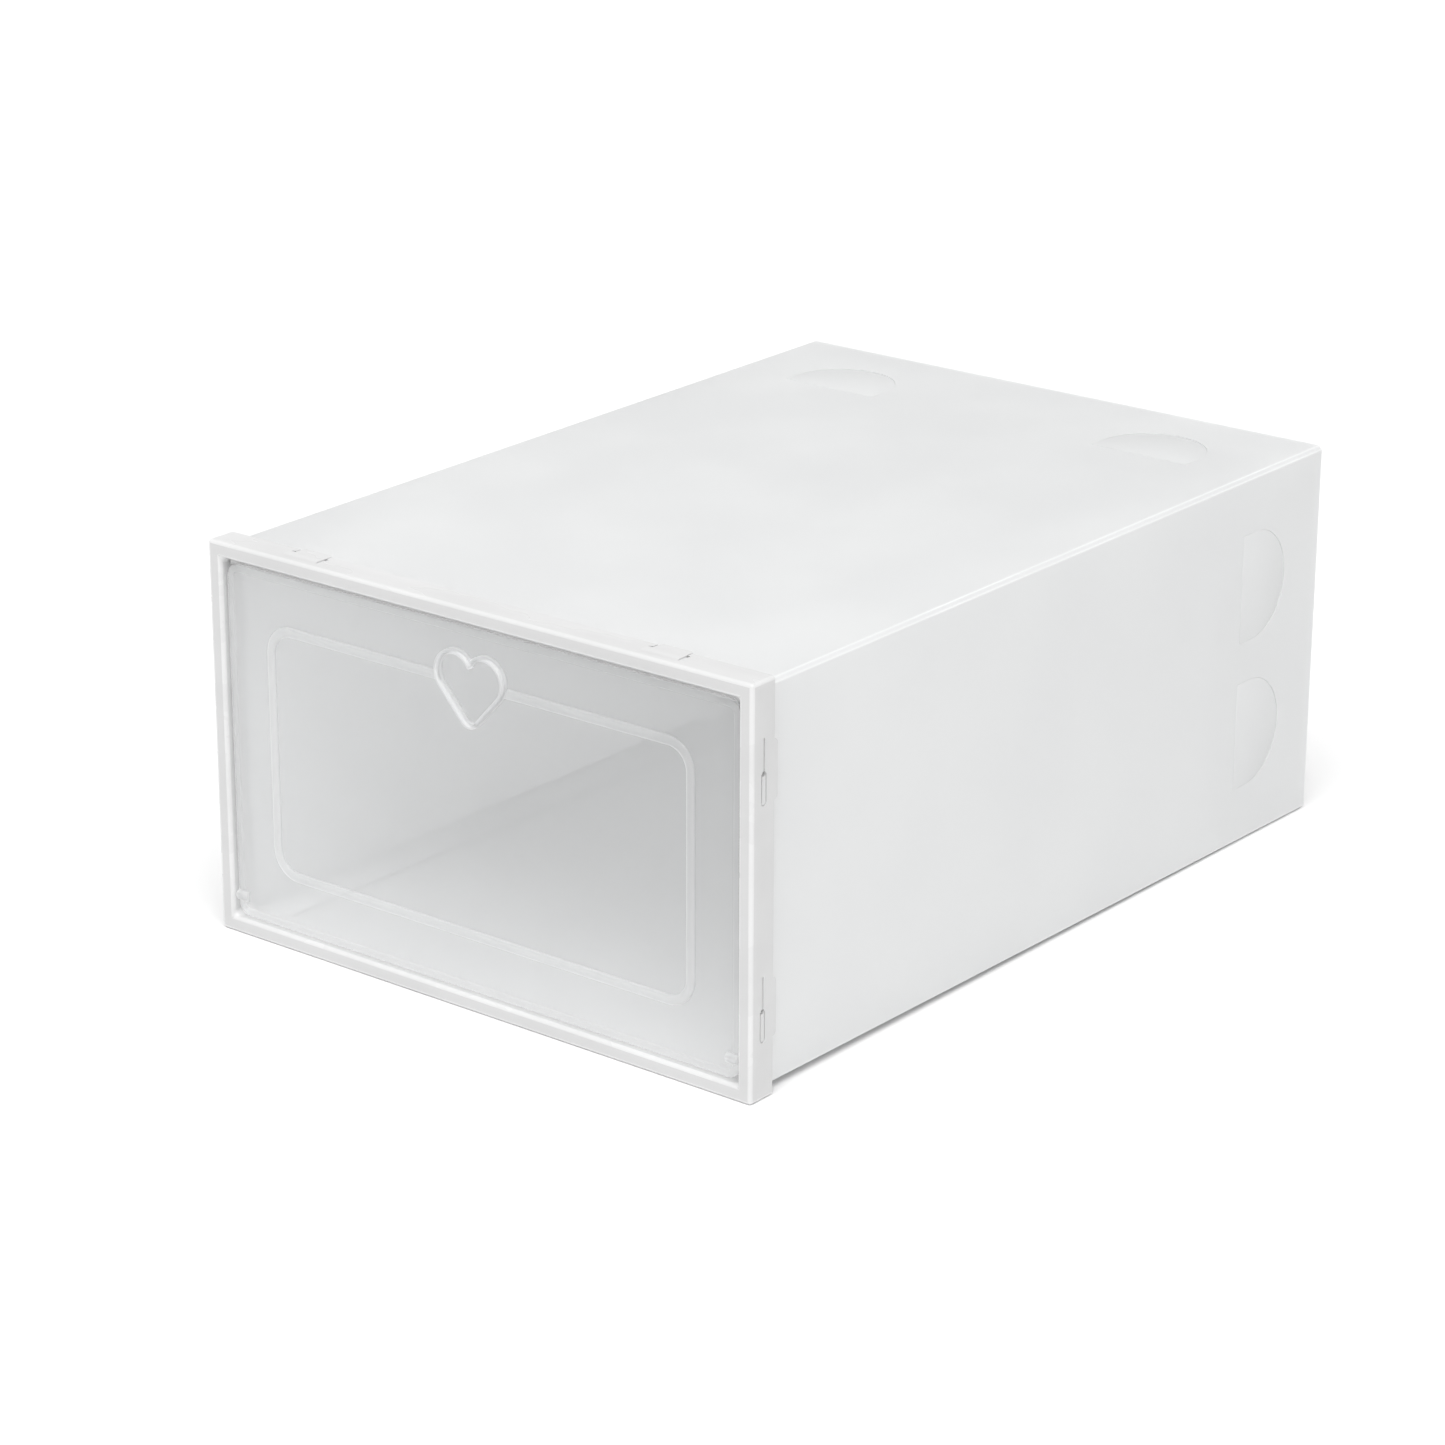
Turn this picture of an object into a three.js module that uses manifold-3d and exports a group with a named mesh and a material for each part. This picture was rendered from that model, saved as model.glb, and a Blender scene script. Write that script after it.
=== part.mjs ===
// A knock-down shoe box: one creased plastic sheet folded into a tube and closed at the back by a panel
// with three tucked flaps, and a moulded front frame that clips over the tube's mouth and carries a
// drop-down door. Millimetres, +Z up, the door faces -Y. The origin is under the middle of the box, on the
// surface it stands on.
import * as THREE from "three";
import { mergeVertices } from "three/addons/utils/BufferGeometryUtils.js";
import Module from "manifold-3d";

const wasm = await Module();
wasm.setup();

// ---------------------------------------------------------------- driving dimensions
// Inside this file Y runs from the frame's front face, at 0, to the back of the box.
const WIDTH = 230; // over the front frame
const HEIGHT = 140; // over the stacking pads
const LENGTH = 330; // from the heart's crest to the back
const GAP = 0.3; // kept between pieces that touch or that were cut apart at a crease
const PAST = 1; // how far a cutting solid runs past what it cuts
const ROOT = 0.5; // how far an added solid is sunk into what carries it

const PAD_RISE = 0.5; // the stacking pads stand this high on the frame
const HEART_PROUD = 0.5; // the heart's crest stands this far in front of the frame
const FRAME_TOP = HEIGHT - PAD_RISE;
const BACK = LENGTH - HEART_PROUD;

const SHEET = 0.6; // thickness of the folded sheet
const MOUTH_INSET = 2.3; // from the frame's outside to the tube's outside, at the tube's mouth
const BACK_SIDE_INSET = 0.7; // the same at the back, where the tube is wider
const BACK_TOP_INSET = 0.9;
const MOUTH_GAP = 0.5; // from the sheet's front edge to the frame's face plate

const COLLAR_WALL = 1.6;
const COLLAR_DEPTH = 11;
const RIM = 5.6; // width of the frame's front face
const WEB = 1.8; // thickness of the frame's front face
const JAMB_WALL = 1.5;
const JAMB_DEPTH = 9;
const RIM_BEVEL = 1.5;
const OUTER_CORNER = 1.4;
const JAMB_CORNER = 2;
const DOORWAY_CORNER = 0.5;
const LEAST_CORNER = 0.3; // the smallest radius an inner corner may shrink to

const DOOR_FACE = 2.2; // the door's front face lies this far behind the frame's
const DOOR_THICK = 1.4;
const DOOR_SIDE_GAP = 1;
const DOOR_TOP_GAP = 1.6;
const DOOR_BOTTOM_GAP = 0.5;
const DOOR_CORNER = 6;
const PIN_RADIUS = 1.4;
const PIN_HOLE = 1.5;
const PIN_UP = 7.5; // the pins' height above the sill
const PIN_BEHIND_FACE = 0.6; // just in front of the door's middle, so that the shut door leans on its stop
const PIN_BACK = DOOR_FACE + PIN_BEHIND_FACE;
const PIN_ROOT = 1; // how far a pin is sunk into the door's edge
const PIN_END_GAP = 0.2; // from a pin's end to the outside of the jamb
const BOSS_RADIUS = 2;
const BOSS_LENGTH = 5;

const BEAD_HALF_WIDTH = 91;
const BEAD_LOW = 24.5;
const BEAD_HIGH = 115;
const BEAD_CORNER = 9;
const BEAD_WIDTH = 3.4;
const BEAD_RISE = 0.8;
const BEAD_ROOT = 0.3; // how deep the bead and the heart are sunk into the door

// The heart, along the middle of its wall
const HEART_LOBE = 7.6; // radius of each lobe
const HEART_LOBE_OUT = 6.4; // the lobes' centres, either side of the middle
const HEART_TIP = 3.7; // radius of the rounded tip
const HEART_TALL = 24.2;
const HEART_TOP = 123.75;
const HEART_WALL = 1.3;

const CLIP_X = 76; // the clips on the top and bottom, either side of the middle
const CLIP_Z = 39.5; // the clips on the sides, either side of mid-height

const FLAP_LENGTH = 67;
const TONGUE_RADIUS = 20;
const TONGUE_STRAIGHT = 8;
const TONGUE_ROOT = BACK - 50.5; // the tongues' creases
const TONGUE_X = 68; // the tongues in the top, either side of the middle
const TONGUE_Z = 27; // the tongues in the sides, either side of mid-height
const TONGUE_SLIT = 0.4;
const CATCH_OUT = 1.5; // the flaps' crescent slots, from the tongues' round ends outwards and inwards
const CATCH_IN = 2.5;

// The side flaps' lower and upper edges, along the crease and at the front end
const FLAP_ROOT_Z = [8, 129];
const FLAP_END_Z = [14, 108];
const FLAP_CUT = [10, 26]; // along the flap: the cut of its lower front corner, and its straight upper edge
const FLAP_SIDE_GAP = 0.4;
const TOP_FLAP_INSET = 3; // from a side flap's inside to the top flap's end
const TOP_FLAP_TAPER = 8;

const SEAM_WIDTH = 14;
const SEAM_FRONT = 12;
const SEAM_END_GAP = 6; // from the seam's rear end to the side flap

// The tube's outside at its mouth
const TUBE_X = WIDTH / 2 - MOUTH_INSET;
const TUBE_LOW = MOUTH_INSET;
const TUBE_HIGH = FRAME_TOP - MOUTH_INSET;
const TUBE_FRONT = WEB + MOUTH_GAP;
const MID_Z = FRAME_TOP / 2;

// The doorway
const DOORWAY_X = WIDTH / 2 - RIM;
const DOORWAY_LOW = RIM;
const DOORWAY_HIGH = FRAME_TOP - RIM;

const DOOR_X = DOORWAY_X - DOOR_SIDE_GAP;
const DOOR_LOW = DOORWAY_LOW + DOOR_BOTTOM_GAP;
const DOOR_HIGH = DOORWAY_HIGH - DOOR_TOP_GAP;
const PIN_Z = DOORWAY_LOW + PIN_UP;

// ---------------------------------------------------------------- materials
const plastic = (color, roughness) => new THREE.MeshStandardMaterial({ color, roughness, metalness: 0 });
const sheetPlastic = plastic(0xe9eaea, 0.45);
const framePlastic = plastic(0xe2e3e3, 0.35);
const doorPlastic = plastic(0xd2d4d5, 0.2);
doorPlastic.transparent = true;
doorPlastic.opacity = 0.5;

// ---------------------------------------------------------------- solids
const ROD_SIDES = 28;
const CURVE_SEGMENTS = 8;
const plain = (depth) => ({ depth, bevelEnabled: false, curveSegments: CURVE_SEGMENTS });

function solid(geometry) {
  const bare = geometry.clone();
  bare.deleteAttribute("normal");
  bare.deleteAttribute("uv");
  const merged = mergeVertices(bare, 1e-4);
  return new wasm.Manifold(
    new wasm.Mesh({
      numProp: 3,
      vertProperties: merged.attributes.position.array,
      triVerts: new Uint32Array(merged.index.array),
    }),
  );
}

function geometryOf(manifold) {
  const mesh = manifold.getMesh();
  const geometry = new THREE.BufferGeometry();
  geometry.setAttribute("position", new THREE.BufferAttribute(mesh.vertProperties, 3));
  geometry.setIndex(new THREE.BufferAttribute(mesh.triVerts, 1));
  geometry.computeVertexNormals();
  return geometry;
}

const joined = (solids) => solids.reduce((whole, next) => whole.add(next));
const cut = (whole, holes) => holes.reduce((left, hole) => left.subtract(hole), whole);

// A box between two corners
function block(x0, x1, y0, y1, z0, z1) {
  const geometry = new THREE.BoxGeometry(Math.abs(x1 - x0), Math.abs(y1 - y0), Math.abs(z1 - z0));
  return solid(geometry.translate((x0 + x1) / 2, (y0 + y1) / 2, (z0 + z1) / 2));
}

function roundedRectangle(x0, x1, y0, y1, radius) {
  const shape = new THREE.Shape();
  shape.moveTo(x0 + radius, y0);
  shape.lineTo(x1 - radius, y0);
  shape.absarc(x1 - radius, y0 + radius, radius, -Math.PI / 2, 0);
  shape.lineTo(x1, y1 - radius);
  shape.absarc(x1 - radius, y1 - radius, radius, 0, Math.PI / 2);
  shape.lineTo(x0 + radius, y1);
  shape.absarc(x0 + radius, y1 - radius, radius, Math.PI / 2, Math.PI);
  shape.lineTo(x0, y0 + radius);
  shape.absarc(x0 + radius, y0 + radius, radius, Math.PI, 1.5 * Math.PI);
  return shape;
}

// A shape drawn in X and Z, made thick from y0 back to y1
function upright(shape, y0, y1, options = {}) {
  const geometry = new THREE.ExtrudeGeometry(shape, { ...plain(y1 - y0), ...options });
  return solid(geometry.rotateX(Math.PI / 2).translate(0, y1, 0));
}

// A shape drawn in X and Y, made thick from z0 up to z1
function level(shape, z0, z1) {
  const geometry = new THREE.ExtrudeGeometry(shape, plain(z1 - z0));
  return solid(geometry.translate(0, 0, z0));
}

// A shape drawn in Y and Z, made thick from x0 out to x1
function sideways(shape, x0, x1) {
  const geometry = new THREE.ExtrudeGeometry(shape, plain(x1 - x0));
  return solid(geometry.rotateX(Math.PI / 2).rotateZ(Math.PI / 2).translate(x0, 0, 0));
}

// A rod along X
function rod(x0, x1, y, z, radius) {
  const geometry = new THREE.CylinderGeometry(radius, radius, x1 - x0, ROD_SIDES);
  return solid(geometry.rotateZ(Math.PI / 2).translate((x0 + x1) / 2, y, z));
}

const group = new THREE.Group();
group.position.y = -(BACK - HEART_PROUD) / 2;

function piece(name, body, material, shaped = (geometry) => geometry) {
  const mesh = new THREE.Mesh(shaped(geometryOf(body)), material);
  mesh.name = name;
  group.add(mesh);
}

// The frame squeezes the tube's mouth, so the tube is drawn at the mouth's size and widened towards the back.
function flared(geometry) {
  const points = geometry.attributes.position;
  const widening = (WIDTH / 2 - BACK_SIDE_INSET) / TUBE_X - 1;
  for (let i = 0; i < points.count; i++) {
    const along = points.getY(i) / BACK;
    const low = TUBE_LOW * (1 - along);
    const high = TUBE_HIGH + (MOUTH_INSET - BACK_TOP_INSET) * along;
    const up = (points.getZ(i) - TUBE_LOW) / (TUBE_HIGH - TUBE_LOW);
    points.setX(i, points.getX(i) * (1 + widening * along));
    points.setZ(i, low + up * (high - low));
  }
  geometry.computeVertexNormals();
  return geometry;
}

const sheetPiece = (name, body) => piece(name, body, sheetPlastic, flared);

// The two ends of a length about a middle
const around = (middle, length) => [middle - length / 2, middle + length / 2];

// ---------------------------------------------------------------- the folded sheet
// A lock tongue's outline, pressed out of a wall: a straight crease at the front and a round end at the back.
// u is across the tongue and v runs to the back of the box.
function tongueOutline(u, v, grow) {
  const radius = TONGUE_RADIUS + grow;
  const shape = new THREE.Shape();
  shape.moveTo(u - radius, v - grow);
  shape.lineTo(u + radius, v - grow);
  shape.lineTo(u + radius, v + TONGUE_STRAIGHT);
  shape.absarc(u, v + TONGUE_STRAIGHT, radius, 0, Math.PI);
  shape.closePath();
  return shape;
}

// The crescent slot in a flap that a tongue's round end springs into
function catchOutline(u, v) {
  const shape = new THREE.Shape();
  const middle = v + TONGUE_STRAIGHT;
  shape.absarc(u, middle, TONGUE_RADIUS + CATCH_OUT, 0.15 * Math.PI, 0.85 * Math.PI);
  shape.absarc(u, middle, TONGUE_RADIUS - CATCH_IN, 0.85 * Math.PI, 0.15 * Math.PI, true);
  shape.closePath();
  return shape;
}

// The same outline on a side wall, where the box's length is the first axis
function swapped(shape) {
  const points = shape.getPoints(CURVE_SEGMENTS).map((point) => new THREE.Vector2(point.y, point.x));
  return new THREE.Shape(points.reverse());
}

// The slots near the tube's mouth that the frame's barbs face
const SLOT_LENGTH = 9;
const SLOT_Y = [6.6, 9.4];

function levelPanel(back, z0, z1) {
  const slots = [-1, 1].map((s) =>
    block(...around(s * CLIP_X, SLOT_LENGTH), ...SLOT_Y, z0 - PAST, z1 + PAST),
  );
  return cut(block(-TUBE_X, TUBE_X, TUBE_FRONT, back, z0, z1), slots);
}

const topZ = [TUBE_HIGH - SHEET, TUBE_HIGH];
const bottomZ = [TUBE_LOW, TUBE_LOW + SHEET];
const topTongues = { left: -TONGUE_X, right: TONGUE_X };
const sideTongues = { lower: MID_Z - TONGUE_Z, upper: MID_Z + TONGUE_Z };
const sideWalls = { left: [-TUBE_X, -TUBE_X + SHEET], right: [TUBE_X - SHEET, TUBE_X] };

const topHoles = Object.values(topTongues).map((u) =>
  level(tongueOutline(u, TONGUE_ROOT, 0), topZ[0] - PAST, topZ[1] + PAST),
);
sheetPiece("top_panel", cut(levelPanel(BACK, ...topZ), topHoles));
sheetPiece("bottom_panel", levelPanel(BACK - SHEET - GAP, ...bottomZ));

for (const [side, [x0, x1]] of Object.entries(sideWalls)) {
  const wall = block(x0, x1, TUBE_FRONT, BACK, bottomZ[1] + GAP, topZ[0] - GAP);
  const slots = [-1, 1].map((s) =>
    block(x0 - PAST, x1 + PAST, ...SLOT_Y, ...around(MID_Z + s * CLIP_Z, SLOT_LENGTH)),
  );
  const holes = Object.values(sideTongues).map((u) =>
    sideways(swapped(tongueOutline(u, TONGUE_ROOT, 0)), x0 - PAST, x1 + PAST),
  );
  sheetPiece(`${side}_panel`, cut(wall, [...slots, ...holes]));
}

// The strip folded in from the left panel and welded to the bottom
const seamBack = BACK - FLAP_LENGTH - SEAM_END_GAP;
const seamLeft = -TUBE_X + SHEET + 2 * GAP;
const seamZ = bottomZ[1] + GAP;
sheetPiece("seam_flap", block(seamLeft, seamLeft + SEAM_WIDTH, SEAM_FRONT, seamBack, seamZ, seamZ + SHEET));

// The tongues themselves, each a slit smaller than its hole
const TONGUE_FRONT = TONGUE_ROOT + TONGUE_SLIT;
for (const [end, u] of Object.entries(topTongues)) {
  sheetPiece(`top_lock_tongue_${end}`, level(tongueOutline(u, TONGUE_FRONT, -TONGUE_SLIT), ...topZ));
}
for (const [side, wall] of Object.entries(sideWalls)) {
  for (const [end, u] of Object.entries(sideTongues)) {
    const outline = swapped(tongueOutline(u, TONGUE_FRONT, -TONGUE_SLIT));
    sheetPiece(`${side}_lock_tongue_${end}`, sideways(outline, ...wall));
  }
}

// The back panel stands on the bottom's rear crease, and its three flaps tuck inside the tube.
const flapOuter = TUBE_X - SHEET - FLAP_SIDE_GAP;
const flapInner = flapOuter - SHEET;
const backFace = BACK - SHEET;
const flapFront = backFace - FLAP_LENGTH;
const flapBack = backFace - GAP;
const topFlapZ = [topZ[0] - GAP - SHEET, topZ[0] - GAP];
const backPanelX = flapInner - GAP;
sheetPiece("back_panel", block(-backPanelX, backPanelX, backFace, BACK, bottomZ[1] + GAP, topFlapZ[0] - GAP));

const topFlapHalf = flapInner - TOP_FLAP_INSET;
const topFlapOutline = new THREE.Shape([
  new THREE.Vector2(-topFlapHalf, flapBack),
  new THREE.Vector2(-topFlapHalf + TOP_FLAP_TAPER, flapFront),
  new THREE.Vector2(topFlapHalf - TOP_FLAP_TAPER, flapFront),
  new THREE.Vector2(topFlapHalf, flapBack),
]);
const topCatches = Object.values(topTongues).map((u) =>
  level(catchOutline(u, TONGUE_ROOT), topFlapZ[0] - PAST, topFlapZ[1] + PAST),
);
sheetPiece("back_top_flap", cut(level(topFlapOutline, ...topFlapZ), topCatches));

// The side flaps' upper corners are cut back so that they clear the top as the back panel swings out.
const sideFlapOutline = new THREE.Shape([
  new THREE.Vector2(flapBack, FLAP_ROOT_Z[0]),
  new THREE.Vector2(flapBack, FLAP_ROOT_Z[1]),
  new THREE.Vector2(flapBack - FLAP_CUT[1], FLAP_ROOT_Z[1]),
  new THREE.Vector2(flapFront, FLAP_END_Z[1]),
  new THREE.Vector2(flapFront, FLAP_END_Z[0]),
  new THREE.Vector2(flapFront + FLAP_CUT[0], FLAP_ROOT_Z[0]),
]);
for (const [side, x0] of Object.entries({ left: -flapOuter, right: flapInner })) {
  const catches = Object.values(sideTongues).map((u) =>
    sideways(swapped(catchOutline(u, TONGUE_ROOT)), x0 - PAST, x0 + SHEET + PAST),
  );
  sheetPiece(`back_${side}_flap`, cut(sideways(sideFlapOutline, x0, x0 + SHEET), catches));
}

// ---------------------------------------------------------------- the front frame
function ring(x, zLow, zHigh, radius, wall, y0, y1) {
  const inner = Math.max(radius - wall, LEAST_CORNER);
  const outside = roundedRectangle(-x, x, zLow, zHigh, radius);
  const inside = roundedRectangle(-x + wall, x - wall, zLow + wall, zHigh - wall, inner);
  return upright(outside, y0, y1).subtract(upright(inside, y0 - PAST, y1 + PAST));
}

const TAB_WIDTH = 13;
const TAB_REACH = 2; // how far a clip's tab runs past the collar
const TAB_THICK = 1.2;
const RELIEF_WIDTH = 2.2;
const RELIEF_Y = [6.5, 9.5];
const PAD_Y = [2.5, 8.5];
const PAD_WIDTH = 13;
const POCKET_PLAY = 0.5; // the pockets under the frame are this much larger all round than the pads
const SIDE_TAB_WIDTH = 20;
const SIDE_SLOT_Y = [4.8, 6.4];
const SIDE_SLOT_LENGTH = 10.6;
const SIDE_SLOT_BRIDGE = 2;
const BARB_RISE = 0.4;
const BARB_LENGTH = 8;
const BARB_Y = [7.2, 8.6];
const BARB_ROOT = 0.4; // how deep a barb is sunk into the collar's wall
const STOP_HALF_WIDTH = 95;
const STOP_THICK = 1.2;
const STOP_DROP = 1.2; // how far the stop reaches down behind the shut door
const BUMP_RADIUS = 0.8;
const BUMP_SIDES = 12;
const BUMP_IN_JAMB = 0.2; // from the jamb's face out to a bump's centre
const BUMP_Y = 1.2;
const BUMP_DOWN = 9; // below the door's top edge
const POCKET_DEPTH = 0.7;
const HOLE_DEPTH = 6; // of the cutting solids for the reliefs and slots, half of it inside the collar
const PIN_HOLE_LENGTH = 5;

// Each clip on the collar has a tab past the collar's rear edge and a barb inside.
const tabY = [COLLAR_DEPTH - ROOT, COLLAR_DEPTH + TAB_REACH];

function frontFrame() {
  const x = WIDTH / 2;
  const jambOut = RIM - JAMB_WALL;
  const collar = ring(x, 0, FRAME_TOP, OUTER_CORNER, COLLAR_WALL, 0, COLLAR_DEPTH);
  const web = ring(x, 0, FRAME_TOP, OUTER_CORNER, RIM, 0, WEB);
  const jamb = ring(x - jambOut, jambOut, FRAME_TOP - jambOut, JAMB_CORNER, JAMB_WALL, 0, JAMB_DEPTH);
  const added = [];
  const removed = [];

  // the sloping inner edge of the front face
  const doorway = roundedRectangle(-DOORWAY_X, DOORWAY_X, DOORWAY_LOW, DOORWAY_HIGH, DOORWAY_CORNER);
  const slope = { bevelEnabled: true, bevelThickness: RIM_BEVEL, bevelSize: RIM_BEVEL, bevelSegments: 1 };
  removed.push(upright(doorway, -RIM_BEVEL, 0, slope));

  // the lip that the shut door's top edge rests on
  const stopY = DOOR_FACE + DOOR_THICK + GAP;
  const stopZ = [DOOR_HIGH - STOP_DROP, DOORWAY_HIGH + ROOT];
  added.push(block(-STOP_HALF_WIDTH, STOP_HALF_WIDTH, stopY, stopY + STOP_THICK, ...stopZ));

  for (const s of [-1, 1]) {
    // pin holes through the jambs, and the small bumps that the door snaps past
    removed.push(rod(...around(s * DOORWAY_X, PIN_HOLE_LENGTH), PIN_BACK, PIN_Z, PIN_HOLE));
    const bump = new THREE.SphereGeometry(BUMP_RADIUS, BUMP_SIDES, BUMP_SIDES / 2);
    added.push(solid(bump.translate(s * (DOORWAY_X + BUMP_IN_JAMB), BUMP_Y, DOOR_HIGH - BUMP_DOWN)));

    // the clips on the top and bottom
    const clip = s * CLIP_X;
    for (const [outside, inwards] of [[FRAME_TOP, -1], [0, 1]]) {
      const wall = outside + inwards * COLLAR_WALL;
      added.push(block(...around(clip, TAB_WIDTH), ...tabY, outside, outside + inwards * TAB_THICK));
      const barbZ = [wall - inwards * BARB_ROOT, wall + inwards * BARB_RISE];
      added.push(block(...around(clip, BARB_LENGTH), ...BARB_Y, ...barbZ));
      for (const end of [-1, 1]) {
        const relief = clip + end * (TAB_WIDTH / 2 + RELIEF_WIDTH);
        removed.push(block(...around(relief, RELIEF_WIDTH), ...RELIEF_Y, ...around(outside, HOLE_DEPTH)));
      }
    }

    // a stacking pad on the top, and the pocket below it that sits on the pad of another box
    const pocketY = [PAD_Y[0] - POCKET_PLAY, PAD_Y[1] + POCKET_PLAY];
    added.push(block(...around(clip, PAD_WIDTH), ...PAD_Y, FRAME_TOP - ROOT, HEIGHT));
    removed.push(block(...around(clip, PAD_WIDTH + 2 * POCKET_PLAY), ...pocketY, -PAST, POCKET_DEPTH));

    // the clips on the sides, each with a slot in front that is bridged at its middle
    for (const end of [-1, 1]) {
      const middle = MID_Z + end * CLIP_Z;
      const wall = s * (x - COLLAR_WALL);
      added.push(block(s * x, s * (x - TAB_THICK), ...tabY, ...around(middle, SIDE_TAB_WIDTH)));
      const barbX = [wall + s * BARB_ROOT, wall - s * BARB_RISE];
      added.push(block(...barbX, ...BARB_Y, ...around(middle, BARB_LENGTH)));
      for (const half of [-1, 1]) {
        const slot = middle + (half * (SIDE_SLOT_BRIDGE + SIDE_SLOT_LENGTH)) / 2;
        removed.push(block(...around(s * x, HOLE_DEPTH), ...SIDE_SLOT_Y, ...around(slot, SIDE_SLOT_LENGTH)));
      }
    }
  }
  return cut(joined([collar, web, jamb, ...added]), removed);
}
piece("front_frame", frontFrame(), framePlastic);

// ---------------------------------------------------------------- the door
const heartTipZ = HEART_TOP - HEART_TALL + HEART_TIP;
const heartLobeZ = HEART_TOP - HEART_LOBE;

// Two round lobes and a small round tip, joined by straight flanks; grow moves the whole outline outwards.
function heart(grow) {
  const lobe = HEART_LOBE + grow;
  const tip = HEART_TIP + grow;
  const across = HEART_LOBE_OUT;
  const down = heartLobeZ - heartTipZ;
  const reach = Math.hypot(across, down);
  const flank = Math.atan2(across, down) + Math.asin((lobe - tip) / reach);
  const notch = Math.acos(across / lobe);
  const shape = new THREE.Shape();
  shape.absarc(0, heartTipZ, tip, Math.PI + flank, -flank);
  shape.absarc(across, heartLobeZ, lobe, -flank, Math.PI - notch);
  shape.absarc(-across, heartLobeZ, lobe, notch, Math.PI + flank);
  shape.closePath();
  return shape;
}

function door() {
  const outline = roundedRectangle(-DOOR_X, DOOR_X, DOOR_LOW, DOOR_HIGH, DOOR_CORNER);
  const panel = upright(outline, DOOR_FACE, DOOR_FACE + DOOR_THICK);

  // the raised bead, left open where the heart is
  const beadFront = DOOR_FACE - BEAD_RISE;
  const beadIn = BEAD_HALF_WIDTH - BEAD_WIDTH;
  const beadOutside = roundedRectangle(-BEAD_HALF_WIDTH, BEAD_HALF_WIDTH, BEAD_LOW, BEAD_HIGH, BEAD_CORNER);
  const beadInside = roundedRectangle(
    -beadIn,
    beadIn,
    BEAD_LOW + BEAD_WIDTH,
    BEAD_HIGH - BEAD_WIDTH,
    BEAD_CORNER - BEAD_WIDTH,
  );
  const bead = upright(beadOutside, beadFront, DOOR_FACE + BEAD_ROOT)
    .subtract(upright(beadInside, beadFront - PAST, DOOR_FACE + PAST))
    .subtract(upright(heart(0), beadFront - PAST, DOOR_FACE + PAST));

  const pull = upright(heart(HEART_WALL / 2), -HEART_PROUD, DOOR_FACE + BEAD_ROOT).subtract(
    upright(heart(-HEART_WALL / 2), -HEART_PROUD - PAST, DOOR_FACE),
  );

  // each pin stands on a boss that is half sunk in the door
  const pinStart = DOOR_X - PIN_ROOT;
  const pinEnd = DOORWAY_X + JAMB_WALL - PIN_END_GAP;
  const pins = [-1, 1].flatMap((s) => [
    rod(...around(s * (DOOR_X - BOSS_LENGTH / 2), BOSS_LENGTH), PIN_BACK, PIN_Z, BOSS_RADIUS),
    rod(...around((s * (pinStart + pinEnd)) / 2, pinEnd - pinStart), PIN_BACK, PIN_Z, PIN_RADIUS),
  ]);
  return joined([panel, bead, pull, ...pins]);
}
piece("door", door(), doorPlastic);

export default group;
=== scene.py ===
import math

import bmesh
import bpy
from mathutils import Euler, Matrix, Vector


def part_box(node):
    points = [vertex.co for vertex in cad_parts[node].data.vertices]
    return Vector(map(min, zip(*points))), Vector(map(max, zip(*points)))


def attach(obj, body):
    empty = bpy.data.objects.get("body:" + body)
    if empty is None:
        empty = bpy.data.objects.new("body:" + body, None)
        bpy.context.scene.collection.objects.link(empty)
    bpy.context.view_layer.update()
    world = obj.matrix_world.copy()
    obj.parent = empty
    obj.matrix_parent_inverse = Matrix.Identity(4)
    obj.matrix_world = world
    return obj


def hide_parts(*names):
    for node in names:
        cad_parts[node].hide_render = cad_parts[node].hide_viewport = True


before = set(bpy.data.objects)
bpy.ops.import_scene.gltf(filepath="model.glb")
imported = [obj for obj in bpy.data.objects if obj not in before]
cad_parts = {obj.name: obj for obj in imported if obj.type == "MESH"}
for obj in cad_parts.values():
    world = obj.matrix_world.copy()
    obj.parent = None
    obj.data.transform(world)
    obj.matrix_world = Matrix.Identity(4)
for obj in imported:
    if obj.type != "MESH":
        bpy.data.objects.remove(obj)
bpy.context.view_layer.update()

# ---------------------------------------------------------------- the folded tube
# One sheet of frosted polypropylene, die cut, scored and folded into a tube, welded to itself along the
# lower left. Its mouth is squeezed by the front frame, so it widens towards the back. Each fold is a
# narrow chamfer. The two small rounds at its edges get a whiter grey, partly the whitening of the scored
# plastic and partly a painted highlight.
MM = 0.001
SHEET = 0.6 * MM
MOUTH_INSET = 2.3 * MM
PAD_RISE = 0.5 * MM
FOLD_WIDTH = 1.3 * MM
FOLD_ROUND = 0.35 * MM
TONGUE_RADIUS = 20 * MM
TONGUE_STRAIGHT = 8 * MM
TONGUE_SLIT = 0.07 * MM
SLOT_LENGTH = 9 * MM
SLOT_FRONT = 6.6 * MM
SLOT_REAR = 9.4 * MM
CLIP_X = 76 * MM
CLIP_Z = 39.5 * MM
CUT_PAST = 3 * MM

frame_low, frame_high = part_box("front_frame")
bottom_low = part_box("bottom_panel")[0]
top_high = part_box("top_panel")[1]
frame_top = frame_high.z - PAD_RISE
mouth_x = frame_high.x - MOUTH_INSET
mouth_y = bottom_low.y
mouth_low = MOUTH_INSET
mouth_high = frame_top - MOUTH_INSET
back_y = top_high.y


def alone(piece):
    """Makes piece the only selected object."""
    if bpy.context.mode != "OBJECT":
        bpy.ops.object.mode_set(mode="OBJECT")
    bpy.ops.object.select_all(action="DESELECT")
    piece.select_set(True)
    bpy.context.view_layer.objects.active = piece


def edit(piece):
    alone(piece)
    bpy.ops.object.mode_set(mode="EDIT")


def done():
    bpy.ops.object.mode_set(mode="OBJECT")


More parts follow.
